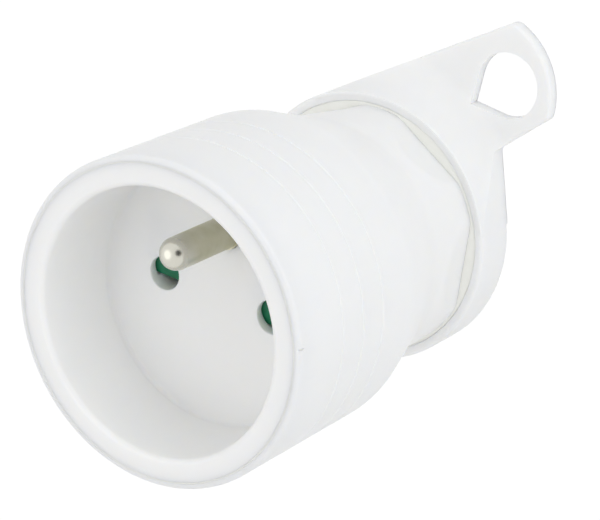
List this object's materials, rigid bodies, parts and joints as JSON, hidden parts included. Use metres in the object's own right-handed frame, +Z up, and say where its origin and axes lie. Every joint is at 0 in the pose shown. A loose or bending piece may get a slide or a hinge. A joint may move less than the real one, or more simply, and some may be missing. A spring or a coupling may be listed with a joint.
{
  "type": "inline socket connector",
  "caption": "White earthed inline socket with a round plug recess, an earth pin, green shutters and a flat ring ear at the cord end.",
  "frame": {"origin": "on the socket's axis, in the flat rear face that it stands on, at the middle of the cord inlet", "axes": "+Z up along the socket's axis from the cord end to the mouth, +X from the axis to the earth pin, +Y to the left seen from the mouth with the pin up"},
  "size_m": [0.0613, 0.0492, 0.0617],
  "materials": {
    "white_moulding": "satin",
    "inner_moulding": "matte",
    "zinc_steel": "satin",
    "contact_brass": "satin",
    "nickel_plate": "polished",
    "green_shutter": "matte"
  },
  "bodies": {
    "body": {"assembly_screw_left": "zinc_steel", "assembly_screw_right": "zinc_steel", "carrier_screw_left": "zinc_steel", "carrier_screw_right": "zinc_steel", "clamp_screw_left": "zinc_steel", "clamp_screw_right": "zinc_steel", "contact_carrier": "inner_moulding", "contact_clip_left": "zinc_steel", "contact_clip_right": "zinc_steel", "contact_left": "contact_brass", "contact_right": "contact_brass", "contact_screw_left": "zinc_steel", "contact_screw_right": "zinc_steel", "cord_clamp": "inner_moulding", "earth_pin": "nickel_plate", "earth_screw": "zinc_steel", "earth_terminal": "contact_brass", "outer_shell": "white_moulding", "ring_cap": "white_moulding", "shutter_spring": "zinc_steel", "socket_insert": "white_moulding"},
    "shutter": {"shutter": "green_shutter"}
  },
  "joints": [
    {"name": "shutter_slide", "type": "slide", "parent": "body", "child": "shutter", "axis": [1, 0, 0], "range_m": [0, 0.005], "stiffness_N_per_m": 150, "springref_m": -0.003, "deforming": ["shutter_spring"]}
  ]
}
